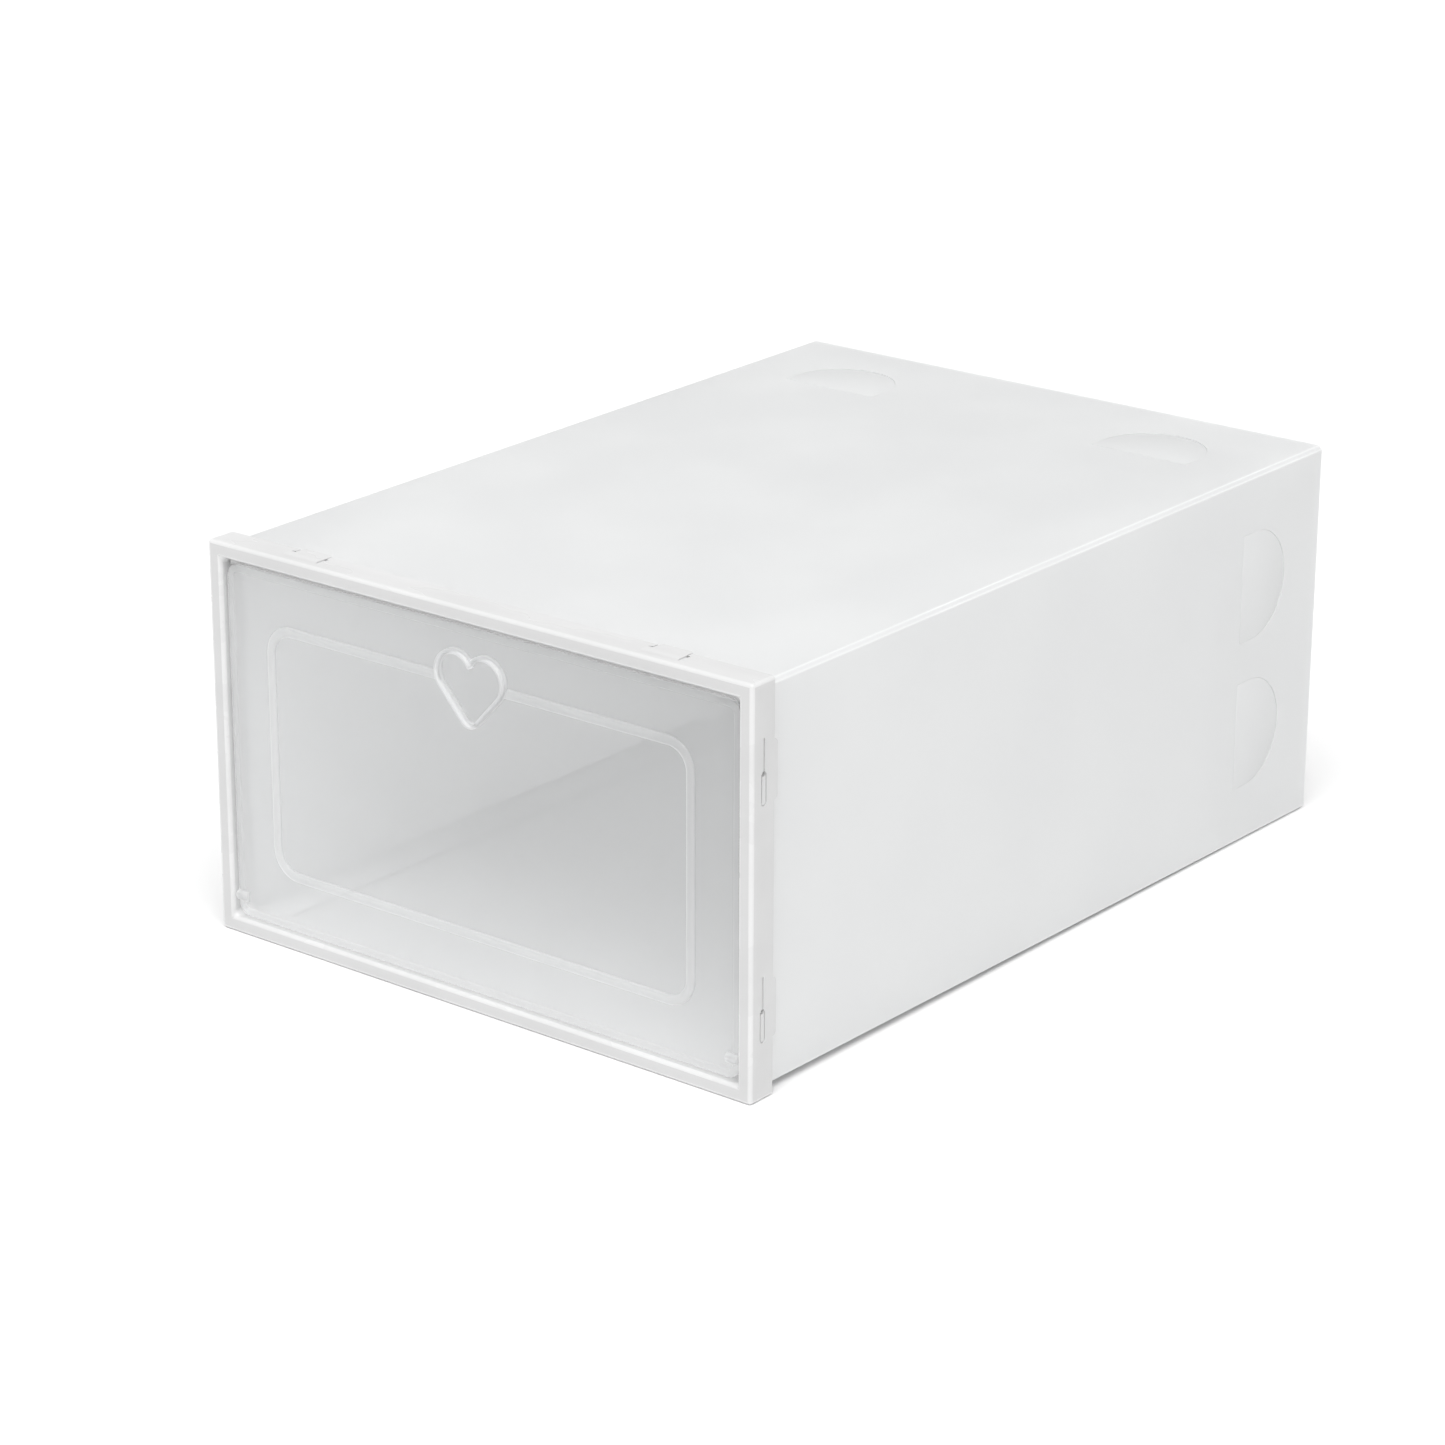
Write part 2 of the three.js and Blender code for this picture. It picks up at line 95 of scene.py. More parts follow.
def pick(piece, kind, test):
    """In edit mode, selects the vertices, edges or faces that pass the test and nothing else."""
    bpy.ops.mesh.select_mode(type=kind)
    bpy.ops.mesh.select_all(action="DESELECT")
    shape = bmesh.from_edit_mesh(piece.data)
    parts = {"VERT": shape.verts, "EDGE": shape.edges, "FACE": shape.faces}[kind]
    for part in [part for part in parts if test(part)]:
        part.select_set(True)
    shape.select_flush_mode()
    bmesh.update_edit_mesh(piece.data)


def runs_along(edge, axis):
    """True for an edge that lies along an axis, within the tube's slight widening."""
    span = edge.verts[1].co - edge.verts[0].co
    return abs(span[axis]) > 0.97 * span.length


def block(name, low, high):
    """A cube primitive stretched between two corners."""
    low, high = Vector(low), Vector(high)
    if bpy.context.mode != "OBJECT":
        bpy.ops.object.mode_set(mode="OBJECT")
    bpy.ops.object.select_all(action="DESELECT")
    bpy.ops.mesh.primitive_cube_add(size=1, location=(low + high) / 2, scale=high - low)
    made = bpy.context.object
    made.name = name
    bpy.ops.object.transform_apply(location=True, rotation=True, scale=True)
    return made


def apply(piece, kind, **settings):
    """Adds a modifier, sets it up and applies it."""
    alone(piece)
    modifier = piece.modifiers.new(kind.title(), kind)
    for name, value in settings.items():
        setattr(modifier, name, value)
    bpy.ops.object.modifier_apply(modifier=modifier.name)


def merge(pieces):
    """Joins objects into the first one, without cutting them."""
    alone(pieces[0])
    for piece in pieces[1:]:
        piece.select_set(True)
    bpy.ops.object.join()
    return pieces[0]


def combine(piece, others, operation):
    """Cuts the other objects from piece, or unites them with it, and removes them."""
    for other in others:
        apply(piece, "BOOLEAN", object=other, operation=operation, solver="EXACT")
        bpy.data.objects.remove(other, do_unlink=True)


def tongue_block(crease, depth_axis, low, high, trim=0.0):
    """A half-round tongue's outline as a thick block. crease is the middle of its straight front edge,
    and the block fills low to high along depth_axis, which is 2 for the top and 0 for a side."""
    radius = TONGUE_RADIUS - trim
    turn = (0, 0, 0) if depth_axis == 2 else (0, math.pi / 2, 0)
    centre = Vector(crease) + Vector((0, TONGUE_STRAIGHT, 0))
    centre[depth_axis] = (low + high) / 2
    bpy.ops.object.select_all(action="DESELECT")
    bpy.ops.mesh.primitive_cylinder_add(
        vertices=96, radius=radius, depth=high - low, location=centre, rotation=turn
    )
    made = bpy.context.object
    bpy.ops.object.transform_apply(location=True, rotation=True, scale=True)
    edit(made)
    bpy.ops.mesh.select_all(action="SELECT")
    bpy.ops.mesh.bisect(plane_co=centre, plane_no=(0, 1, 0), use_fill=True, clear_inner=True)
    pick(made, "FACE", lambda face: face.normal.y < -0.9)
    straight = TONGUE_STRAIGHT + max(-trim, 0)
    bpy.ops.mesh.extrude_region_move(TRANSFORM_OT_translate={"value": (0, -straight, 0)})
    done()
    return made


tube = block("folded_tube", (-mouth_x, mouth_y, mouth_low), (mouth_x, back_y, mouth_high))
edit(tube)
pick(tube, "FACE", lambda face: abs(face.normal.y) > 0.9)
bpy.ops.mesh.delete(type="ONLY_FACE")
pick(tube, "VERT", lambda corner: corner.co.y > 0)
mouth_middle = (mouth_low + mouth_high) / 2
back_middle = (bottom_low.z + top_high.z) / 2
bpy.ops.transform.resize(
    value=(top_high.x / mouth_x, 1, (top_high.z - bottom_low.z) / (mouth_high - mouth_low)),
    center_override=(0, back_y, mouth_middle),
)
bpy.ops.transform.translate(value=(0, 0, back_middle - mouth_middle))
pick(tube, "EDGE", lambda edge: runs_along(edge, 1))
bpy.ops.mesh.bevel(offset=FOLD_WIDTH, segments=1, affect="EDGES")
pick(tube, "EDGE", lambda edge: runs_along(edge, 1))
bpy.ops.mesh.bevel(offset=FOLD_ROUND, segments=3, affect="EDGES")
bpy.ops.mesh.select_all(action="SELECT")
bpy.ops.mesh.normals_make_consistent(inside=False)
done()
apply(tube, "SOLIDIFY", thickness=SHEET, offset=-1, use_even_offset=True)

# The holes that the lock tongues are cut from, and the slots that the frame's barbs snap into
tongue_nodes = {
    2: ["top_lock_tongue_left", "top_lock_tongue_right"],
    0: [f"{side}_lock_tongue_{end}" for side in ("left", "right") for end in ("lower", "upper")],
}
cutters = []
creases = {}
for depth_axis, names in tongue_nodes.items():
    for name in names:
        low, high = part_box(name)
        crease = (low + high) / 2
        crease.y = low.y - TONGUE_SLIT
        creases[name] = crease
        cutters.append(
            tongue_block(crease, depth_axis, low[depth_axis] - CUT_PAST, high[depth_axis] + CUT_PAST)
        )
mid_z = frame_top / 2
frame_face = frame_low.y
slot_y = [frame_face + SLOT_FRONT, frame_face + SLOT_REAR]
for side in (-1, 1):
    x = side * CLIP_X
    for z in (mouth_low, mouth_high):
        low = (x - SLOT_LENGTH / 2, slot_y[0], z - 2 * MM)
        cutters.append(block("slot", low, (x + SLOT_LENGTH / 2, slot_y[1], z + 2 * MM)))
    for z in (mid_z - CLIP_Z, mid_z + CLIP_Z):
        low = (side * mouth_x - 2 * MM, slot_y[0], z - SLOT_LENGTH / 2)
        cutters.append(block("slot", low, (side * mouth_x + 2 * MM, slot_y[1], z + SLOT_LENGTH / 2)))
combine(tube, [merge(cutters)], "DIFFERENCE")


class Wire:
    """A socket in a material's node tree. Arithmetic on it adds Math nodes to the same tree."""

    def __init__(self, tree, socket=None):
        self.tree = tree
        self.socket = socket

    def node(self, kind, settings=None, inputs=None, output=0):
        """Adds a node, sets it up, then sets or links its inputs, and returns one of its outputs."""
        made = self.tree.nodes.new("ShaderNode" + kind)
        for name, value in (settings or {}).items():
            setattr(made, name, value)
        for key, value in (inputs or {}).items():
            if isinstance(value, Wire):
                self.tree.links.new(value.socket, made.inputs[key])
            else:
                made.inputs[key].default_value = value
        return Wire(self.tree, made.outputs[output])

    def math(self, operation, *values):
        return self.node("Math", {"operation": operation}, dict(enumerate(values)))

    def __add__(self, other):
        return self.math("ADD", self, other)

    def __sub__(self, other):
        return self.math("SUBTRACT", self, other)

    def __rsub__(self, other):
        return self.math("SUBTRACT", other, self)

    def __mul__(self, other):
        return self.math("MULTIPLY", self, other)

    __radd__ = __add__
    __rmul__ = __mul__

    def between(self, low, high):
        """0 below low, 1 above high, and smooth in between."""
        limits = {"interpolation_type": "SMOOTHSTEP"}
        return self.node("MapRange", limits, {0: self, 1: low, 2: high, 3: 0.0, 4: 1.0})


def new_material(name, fixed):
    """A material with a Principled shader, whose even values are set here on its own sockets."""
    material = bpy.data.materials.new(name)
    material.use_nodes = True
    shader = material.node_tree.nodes["Principled BSDF"]
    for socket, value in fixed.items():
        shader.inputs[socket].default_value = value
    return Wire(material.node_tree), shader, material


def grain(wire, size, detail=2.0, stretch=(1, 1, 1)):
    """Noise from 0 to 1 whose blobs are about size metres across, stretched by a factor on each axis."""
    place = wire.node("TexCoord", output="Object")
    scaled = wire.node("Mapping", {}, {"Vector": place, "Scale": [1 / factor for factor in stretch]})
    return wire.node("TexNoise", {}, {"Vector": scaled, "Scale": 1 / size, "Detail": detail})


def tint(wire, mask, dark, light):
    """A grey that runs from dark to light with the mask."""
    return wire.node("Mix", {"data_type": "RGBA"}, {0: mask, 6: dark, 7: light}, output=2)


def finish_material(wire, shader, color, roughness, height, bump):
    """Links what varies over the surface: colour, roughness and a fine bump of a height in metres."""
    normal = wire.node("Bump", {}, {"Strength": 1.0, "Distance": bump, "Height": height})
    for socket, value in {"Base Color": color, "Roughness": roughness, "Normal": normal}.items():
        wire.tree.links.new(value.socket, shader.inputs[socket])


SHEET_LIGHT = (0.955, 0.96, 0.96, 1)
SHEET_CLOUD = (0.93, 0.935, 0.937, 1)
SHEET_THROUGH = 0.35


def let_through(wire, material, share, color):
    """Makes a share of the light pass through the material instead of coming back."""
    translucent = wire.node("BsdfTranslucent", {}, {"Color": color})
    principled = Wire(wire.tree, wire.tree.nodes["Principled BSDF"].outputs[0])
    mixed = wire.node("MixShader", {}, {0: share, 1: principled, 2: translucent})
    wire.tree.links.new(mixed.socket, wire.tree.nodes["Material Output"].inputs["Surface"])


def frosted_sheet():
    """Frosted sheet: milky clouds, a fine matt grain from the rollers, and a few scuffs."""
    fixed = {"IOR": 1.49, "Specular IOR Level": 0.4}
    wire, shader, material = new_material("frosted_sheet", fixed)
    clouds = grain(wire, 60 * MM, 3).between(0.35, 0.7)
    roller = grain(wire, 0.45 * MM, 2)
    streaks = grain(wire, 3 * MM, 2, (1, 14, 1)).between(0.62, 0.72)
    color = tint(wire, clouds, SHEET_CLOUD, SHEET_LIGHT)
    roughness = 0.4 + 0.12 * clouds + 0.1 * streaks
    height = roller + 0.5 * streaks
    finish_material(wire, shader, color, roughness, height, 0.00003)
    let_through(wire, material, SHEET_THROUGH, SHEET_LIGHT)
    return material


def scored_fold_and_highlight():
    """The sheet along a fold: pressed thin by the scoring rule and a little glossy. Its whiter grey is
    partly the scored plastic's own whitening and partly a painted highlight.
    """
    wire, shader, material = new_material("scored_fold_and_highlight", {"IOR": 1.49, "Specular IOR Level": 0.6})
    ticks = grain(wire, 0.5 * MM, 2, (1, 4, 1))
    whitening_and_sheen = grain(wire, 12 * MM, 3, (1, 3, 1)).between(0.3, 0.7)
    color = tint(wire, whitening_and_sheen, (0.93, 0.935, 0.935, 1), (0.98, 0.985, 0.985, 1))
    finish_material(wire, shader, color, 0.3 + 0.1 * whitening_and_sheen, ticks, 0.00003)
    let_through(wire, material, 0.15, (0.95, 0.95, 0.95, 1))
    return material


sheet_material = frosted_sheet()
fold_whitening_and_highlight = scored_fold_and_highlight()


def dress(piece, material, body, nodes=(), angle=35):
    """Gives a finished piece its material, smooth shading and body, and hides the CAD nodes it stands
    for.
    """
    alone(piece)
    bpy.ops.object.shade_smooth_by_angle(angle=math.radians(angle))
    piece.data.materials.clear()
    piece.data.materials.append(material)
    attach(piece, body)
    if nodes:
        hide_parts(*nodes)


dress(tube, sheet_material, "tube", ["bottom_panel", "left_panel", "right_panel", "top_panel"])


def whiten(piece, material, test):
    """Gives the faces that pass the test a second, whiter material."""
    piece.data.materials.append(material)
    for face in piece.data.polygons:
        if test(face):
            face.material_index = 1


def on_long_fold(face):
    """True for the two small rounds at either side of each long fold's flat."""
    lean = min(abs(face.normal.x), abs(face.normal.z))
    return 0.15 < lean < 0.66 and abs(face.normal.y) < 0.3


# The fold's rounds get a whiter grey: partly the scored plastic's own whitening, partly a painted
# highlight
whiten(tube, fold_whitening_and_highlight, on_long_fold)

# ---------------------------------------------------------------- the lock tongues
# Half-round tongues cut from the tube's own walls, two in the top and two in each side. Each bends in
# a little at its crease, so that its round end catches in the slot of the flap behind it.
TONGUE_BEND = math.radians(0.45)
TONGUE_EDGE = 0.1 * MM

for depth_axis, names in tongue_nodes.items():
    for name in names:
        low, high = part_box(name)
        outwards = 1 if (low + high)[depth_axis] > 0 else -1
        skin = high[depth_axis] if outwards > 0 else low[depth_axis]
        faces = sorted([skin, skin - outwards * SHEET])
        tongue = tongue_block(creases[name], depth_axis, *faces, trim=TONGUE_SLIT)
        tongue.name = name.replace("lock_tongue", "tongue")
        edit(tongue)
        bpy.ops.mesh.select_all(action="SELECT")
        axis = "X" if depth_axis == 2 else "Z"
        turn = TONGUE_BEND if depth_axis == 2 else -outwards * TONGUE_BEND
        hinge = creases[name].copy()
        hinge[depth_axis] = skin
        bpy.ops.transform.rotate(value=turn, orient_axis=axis, center_override=hinge)
        done()
        apply(tongue, "BEVEL", width=TONGUE_EDGE, segments=2, limit_method="ANGLE")
        dress(tongue, sheet_material, "tube", [name])

# ---------------------------------------------------------------- the welded strip
# The sheet's last few millimetres, folded in from the left wall and welded flat to the bottom. Its free
# corners are cut off at a slant.
STRIP_CORNER = 5 * MM

strip_low, strip_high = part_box("seam_flap")
strip = block("welded_strip", strip_low, strip_high)
edit(strip)
strip_middle = (strip_low.x + strip_high.x) / 2
pick(strip, "EDGE", lambda edge: runs_along(edge, 2) and edge.verts[0].co.x > strip_middle)
bpy.ops.mesh.bevel(offset=STRIP_CORNER, segments=1, affect="EDGES")
done()
apply(strip, "BEVEL", width=TONGUE_EDGE, segments=2, limit_method="ANGLE")
dress(strip, sheet_material, "tube", ["seam_flap"])

# ---------------------------------------------------------------- the back closure
# The back panel and its two side flaps, one more stretch of the same sheet. The flaps fold forwards
# inside the tube, and each has two crescent slots for the lock tongues.
FLAP_FOLD = 0.9 * MM
CATCH_OUT = 1.5 * MM
CATCH_IN = 2.5 * MM

panel_low, panel_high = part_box("back_panel")
flap_low, flap_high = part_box("back_right_flap")
tube_spread = (top_high.x - mouth_x) / (back_y - mouth_y)
back_low = (-flap_high.x, flap_low.y, panel_low.z)
back = block("back_closure", back_low, (flap_high.x, panel_high.y, panel_high.z))
edit(back)
pick(back, "FACE", lambda face: face.normal.y < -0.9 or abs(face.normal.z) > 0.9)
bpy.ops.mesh.delete(type="ONLY_FACE")
pick(back, "VERT", lambda corner: corner.co.y < (flap_low.y + panel_high.y) / 2)
narrower = 1 - tube_spread * (panel_high.y - flap_low.y) / flap_high.x
bpy.ops.transform.resize(value=(narrower, 1, 1), center_override=(0, flap_low.y, 0))
for level in (flap_low.z, flap_high.z):
    bpy.ops.mesh.select_all(action="SELECT")
    bpy.ops.mesh.bisect(plane_co=(0, 0, level), plane_no=(0, 0, 1))


def past_flap(face):
    """True for the parts of the sides below and above the flaps."""
    height = face.calc_center_median().z
    return abs(face.normal.x) > 0.9 and not flap_low.z < height < flap_high.z


pick(back, "FACE", past_flap)
bpy.ops.mesh.delete(type="FACE")
flap_cuts = [
    ((0, flap_high.y - 26 * MM, flap_high.z), (0, -21, 41)),
    ((0, flap_low.y + 10 * MM, flap_low.z), (0, -6, -10)),
]
for place, outside in flap_cuts:
    pick(back, "FACE", lambda face: abs(face.normal.x) > 0.9)
    bpy.ops.mesh.bisect(plane_co=place, plane_no=outside, clear_outer=True)
pick(back, "EDGE", lambda edge: runs_along(edge, 2) and len(edge.link_faces) == 2)
bpy.ops.mesh.bevel(offset=FLAP_FOLD, segments=4, affect="EDGES")
bpy.ops.mesh.select_all(action="SELECT")
bpy.ops.mesh.normals_make_consistent(inside=False)
done()
apply(back, "SOLIDIFY", thickness=SHEET, offset=-1, use_even_offset=True)


def crescent_block(crease, depth_axis, low, high):
    """The crescent slot that a tongue's round end catches in, as a thick block."""
    outer = tongue_block(crease, depth_axis, low, high, trim=-CATCH_OUT)
    inner = tongue_block(crease, depth_axis, low - MM, high + MM, trim=CATCH_IN)
    combine(outer, [inner], "DIFFERENCE")
    edit(outer)
    bpy.ops.mesh.select_all(action="SELECT")
    ends = Vector(crease) + Vector((0, TONGUE_STRAIGHT + 0.45 * TONGUE_RADIUS, 0))
    bpy.ops.mesh.bisect(plane_co=ends, plane_no=(0, 1, 0), use_fill=True, clear_inner=True)
    done()
    return outer


crescents = []
for name in tongue_nodes[0]:
    low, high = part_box(name)
    crescents.append(crescent_block(creases[name], 0, low.x - CUT_PAST, high.x + CUT_PAST))
combine(back, [merge(crescents)], "DIFFERENCE")
dress(back, sheet_material, "back", ["back_panel", "back_left_flap", "back_right_flap"])

# ---------------------------------------------------------------- the top tuck flap
# The flap along the back panel's top edge. It slides in under the top, and its two crescent slots take
# the top's lock tongues.
tuck_low, tuck_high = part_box("back_top_flap")
FLAP_TAPER = 8 * MM
top_rise = (top_high.z - mouth_high) / (back_y - mouth_y) * (tuck_high.y - tuck_low.y)
tuck = block("top_tuck_flap", (tuck_low.x, tuck_low.y, tuck_high.z - SHEET), tuck_high)
edit(tuck)
pick(tuck, "VERT", lambda corner: corner.co.y < (tuck_low.y + tuck_high.y) / 2)
taper = 1 - FLAP_TAPER / tuck_high.x
bpy.ops.transform.resize(value=(taper, 1, 1), center_override=(0, 0, 0))
bpy.ops.transform.translate(value=(0, 0, -top_rise))
pick(tuck, "EDGE", lambda edge: runs_along(edge, 2) and edge.verts[0].co.y < tuck_low.y + MM)
bpy.ops.mesh.bevel(offset=9 * MM, segments=8, affect="EDGES")
done()
crescents = []
for name in tongue_nodes[2]:
    low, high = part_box(name)
    crescents.append(crescent_block(creases[name], 2, low.z - CUT_PAST, high.z + CUT_PAST))
combine(tuck, [merge(crescents)], "DIFFERENCE")
dress(tuck, sheet_material, "top_tuck", ["back_top_flap"])

# ---------------------------------------------------------------- the front frame
# One injection moulding in white polypropylene: a collar round the outside of the tube's mouth, a flat
# rim, and a jamb inside it that the door turns in. Clips on all four sides snap it on to the sheet.
COLLAR_DEPTH = 11 * MM
COLLAR_WALL = 1.6 * MM
RIM = 5.6 * MM
WEB = 1.8 * MM
JAMB_WALL = 1.5 * MM
JAMB_DEPTH = 9 * MM
RIM_SLOPE = 2 * MM
OUTER_ROUND = 1.2 * MM
DOORWAY_CORNER = 2 * MM
SUNK = 0.02 * MM

doorway_x = frame_high.x - RIM
doorway_low = RIM
doorway_high = frame_top - RIM
collar_y = frame_face + COLLAR_DEPTH
shell = block("clip_on_frame", (frame_low.x, frame_face, 0), (frame_high.x, collar_y, frame_top))
edit(shell)
pick(shell, "FACE", lambda face: face.normal.y < -0.9)
bpy.ops.mesh.inset(thickness=RIM)
bpy.ops.mesh.delete(type="FACE")
pick(shell, "FACE", lambda face: face.normal.y > 0.9)
bpy.ops.mesh.inset(thickness=COLLAR_WALL)
bpy.ops.mesh.extrude_region_move(TRANSFORM_OT_translate={"value": (0, WEB - COLLAR_DEPTH, 0)})
bpy.ops.mesh.inset(thickness=RIM - JAMB_WALL - COLLAR_WALL)
bpy.ops.mesh.extrude_region_move(TRANSFORM_OT_translate={"value": (0, JAMB_DEPTH - WEB, 0)})
bpy.ops.mesh.inset(thickness=JAMB_WALL)
bpy.ops.mesh.delete(type="FACE")
pick(shell, "EDGE", lambda edge: edge.is_boundary)
bpy.ops.mesh.bridge_edge_loops()
bpy.ops.mesh.select_all(action="SELECT")
bpy.ops.mesh.normals_make_consistent(inside=False)


def on_outside(edge):
    """True for the edges on the outside of the collar, apart from those round its rear."""
    outside = [
        max(abs(corner.co.x) - frame_high.x, abs(corner.co.z - mid_z) - mid_z) for corner in edge.verts
    ]
    in_face = all(corner.co.y < frame_face + 0.1 * MM for corner in edge.verts)
    return min(outside) > -0.1 * MM and (in_face or runs_along(edge, 1))


pick(shell, "EDGE", on_outside)
bpy.ops.mesh.bevel(offset=OUTER_ROUND, segments=4, affect="EDGES")
pick(shell, "EDGE", lambda edge: runs_along(edge, 1) and abs(edge.verts[0].co.x) < doorway_x + 0.1 * MM)
bpy.ops.mesh.bevel(offset=DOORWAY_CORNER, segments=4, affect="EDGES")


def on_doorway_front(edge):
    """True for the edges between the rim's face and the doorway."""
    middle = (edge.verts[0].co + edge.verts[1].co) / 2
    in_face = all(corner.co.y < frame_face + 0.1 * MM for corner in edge.verts)
    across = max(abs(middle.x) - doorway_x, abs(middle.z - mid_z) - (doorway_high - mid_z))
    return in_face and -DOORWAY_CORNER < across < 0.1 * MM


pick(shell, "EDGE", on_doorway_front)
bpy.ops.mesh.bevel(offset=RIM_SLOPE, segments=4, affect="EDGES")
done()

TAB_WIDTH = 13 * MM
TAB_REACH = 1.6 * MM
TAB_THICK = 1.2 * MM
RELIEF = 1.6 * MM
CLIP_SLIT = 0.35 * MM
RAMP_WIDTH = 15 * MM
SIDE_TAB = 20 * MM
HALF_SLOT = 10.6 * MM
SLOT_DEPTH = 0.4 * MM
SIDE_TONGUE = 1.7 * MM
STOP_HALF = 108.5 * MM
STOP_THICK = 1.2 * MM
STOP_BACK = 3.9 * MM
TAB_ROUND = 1.6 * MM
BARB_HALF = 4 * MM
BARB_REACH = 0.4 * MM
BARB_ROOT = 0.5 * MM
RELIEF_ROUND = 0.6 * MM
RAMP_ROOT = 0.5 * MM
RAMP_RUN = 2 * MM
POCKET_CLEAR = 0.5 * MM
POCKET_DEPTH = 0.7 * MM
GROOVE_HALF = 1.3 * MM
barb_y = [frame_face + 7.2 * MM, frame_face + 8.6 * MM]
relief_y = [frame_face + 7 * MM, frame_face + 8.8 * MM]
slit_y = frame_face + 8.5 * MM
ramp_y = [frame_face + 1.8 * MM, frame_face + 6.9 * MM]
pocket_y = [frame_face + 2 * MM, frame_face + 9 * MM]
middle_y = frame_face + 5.8 * MM
added = []
removed = []


def soften(piece, axis, radius, segments=4, test=None):
    """Rounds the edges of a small block that run along an axis."""
    edit(piece)
    pick(piece, "EDGE", lambda edge: runs_along(edge, axis) and (test is None or test(edge)))
    bpy.ops.mesh.bevel(offset=radius, segments=segments, affect="EDGES")
    done()
    return piece


def on_ramp_front(edge):
    """True for a stacking ramp's upper front edge, which is moved back to make the slope."""
    return all(corner.co.z > frame_top and corner.co.y < frame_face + 3 * MM for corner in edge.verts)


for side in (-1, 1):
    x = side * CLIP_X
    for outside, inwards in ((frame_top, -1), (0, 1)):
        depths = sorted([outside + inwards * SUNK, outside + inwards * TAB_THICK])
        low = (x - TAB_WIDTH / 2, collar_y - MM, depths[0])
        tab = block("tab", low, (x + TAB_WIDTH / 2, collar_y + TAB_REACH, depths[1]))
        added.append(soften(tab, 2, TAB_ROUND, 4, lambda edge: edge.verts[0].co.y > collar_y))
        wall = outside + inwards * COLLAR_WALL
        depths = sorted([wall - inwards * BARB_ROOT, wall + inwards * BARB_REACH])
        low = (x - BARB_HALF, barb_y[0], depths[0])
        added.append(block("barb", low, (x + BARB_HALF, barb_y[1], depths[1])))
        for end in (-1, 1):
            relief = x + end * (TAB_WIDTH / 2 + RELIEF / 2)
            low = (relief - RELIEF / 2, relief_y[0], outside - CUT_PAST)
            high = (relief + RELIEF / 2, relief_y[1], outside + CUT_PAST)
            removed.append(soften(block("relief", low, high), 2, RELIEF_ROUND))
            slit = sorted([x + end * TAB_WIDTH / 2, x + end * (TAB_WIDTH / 2 + CLIP_SLIT)])
            low = (slit[0], slit_y, outside - CUT_PAST)
            removed.append(block("slit", low, (slit[1], collar_y + MM, outside + CUT_PAST)))

    low = (x - RAMP_WIDTH / 2, ramp_y[0], frame_top - RAMP_ROOT)
    ramp = block("ramp", low, (x + RAMP_WIDTH / 2, ramp_y[1], frame_high.z))
    edit(ramp)
    pick(ramp, "EDGE", on_ramp_front)
    bpy.ops.transform.translate(value=(0, RAMP_RUN, 0))
    done()
    added.append(ramp)
    pocket_half = RAMP_WIDTH / 2 + POCKET_CLEAR
    low = (x - pocket_half, pocket_y[0], -MM)
    removed.append(block("pocket", low, (x + pocket_half, pocket_y[1], POCKET_DEPTH)))

    for z in (mid_z - CLIP_Z, mid_z + CLIP_Z):
        skin = side * frame_high.x
        depths = sorted([skin - side * SUNK, skin - side * TAB_THICK])
        low = (depths[0], collar_y - MM, z - SIDE_TAB / 2)
        tab = block("tab", low, (depths[1], collar_y + TAB_REACH, z + SIDE_TAB / 2))
        added.append(soften(tab, 0, TAB_ROUND, 4, lambda edge: edge.verts[0].co.y > collar_y))
        wall = side * (frame_high.x - COLLAR_WALL)
        depths = sorted([wall - BARB_REACH, wall + BARB_REACH])
        low = (depths[0], barb_y[0], z - BARB_HALF)
        added.append(block("barb", low, (depths[1], barb_y[1], z + BARB_HALF)))
        # the upper half is a narrow slot, and the lower half a raised tongue with a groove down it
        depths = sorted([skin - side * SLOT_DEPTH, skin + side * MM])
        low = (depths[0], middle_y - 0.5 * MM, z + MM)
        removed.append(block("slot", low, (depths[1], middle_y + 0.5 * MM, z + MM + HALF_SLOT)))
        low = (depths[0], middle_y - GROOVE_HALF, z - HALF_SLOT)
        groove = block("groove", low, (depths[1], middle_y + GROOVE_HALF, z))
        removed.append(soften(groove, 0, 1.2 * MM, 4, lambda edge, z=z: edge.verts[0].co.z < z - MM))
        depths = sorted([skin - side * (SLOT_DEPTH + 0.3 * MM), skin - side * SUNK])
        low = (depths[0], middle_y - SIDE_TONGUE / 2, z - HALF_SLOT + 0.5 * MM)
        tongue = block("side_tongue", low, (depths[1], middle_y + SIDE_TONGUE / 2, z - 0.8 * MM))
        added.append(soften(tongue, 0, 0.8 * MM, 4, lambda edge, z=z: edge.verts[0].co.z < z - 2 * MM))
        depths = sorted([skin - side * 3 * MM, skin + side * MM])
        low = (depths[0], middle_y - 0.8 * MM, z - 0.9 * MM)
        hole = block("hole", low, (depths[1], middle_y + 0.8 * MM, z + 0.9 * MM))
        removed.append(soften(hole, 0, RELIEF_ROUND))
# the lip that the shut door's top edge leans on
door_low, door_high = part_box("door")
stop_y = [frame_face + STOP_BACK, frame_face + STOP_BACK + STOP_THICK]
low = (-STOP_HALF, stop_y[0], door_high.z - STOP_THICK)
added.append(block("stop", low, (STOP_HALF, stop_y[1], doorway_high + 0.5 * MM)))
combine(shell, removed, "DIFFERENCE")
combine(shell, added, "UNION")


def moulded_white(name, dark, light, rough):
    """Milky moulded polypropylene: a satin skin with faint flow marks, from a dark to a light grey."""
    wire, shader, material = new_material(name, {"IOR": 1.49, "Specular IOR Level": 0.5})
    flow = grain(wire, 18 * MM, 3, (3, 1, 1)).between(0.3, 0.7)
    skin = grain(wire, 0.35 * MM, 2)
    color = tint(wire, flow, (dark, dark, dark, 1), (light, light, light, 1))
    finish_material(wire, shader, color, rough + 0.1 * flow, skin, 0.000012)
    let_through(wire, material, 0.12, (light, light, light, 1))
    return material


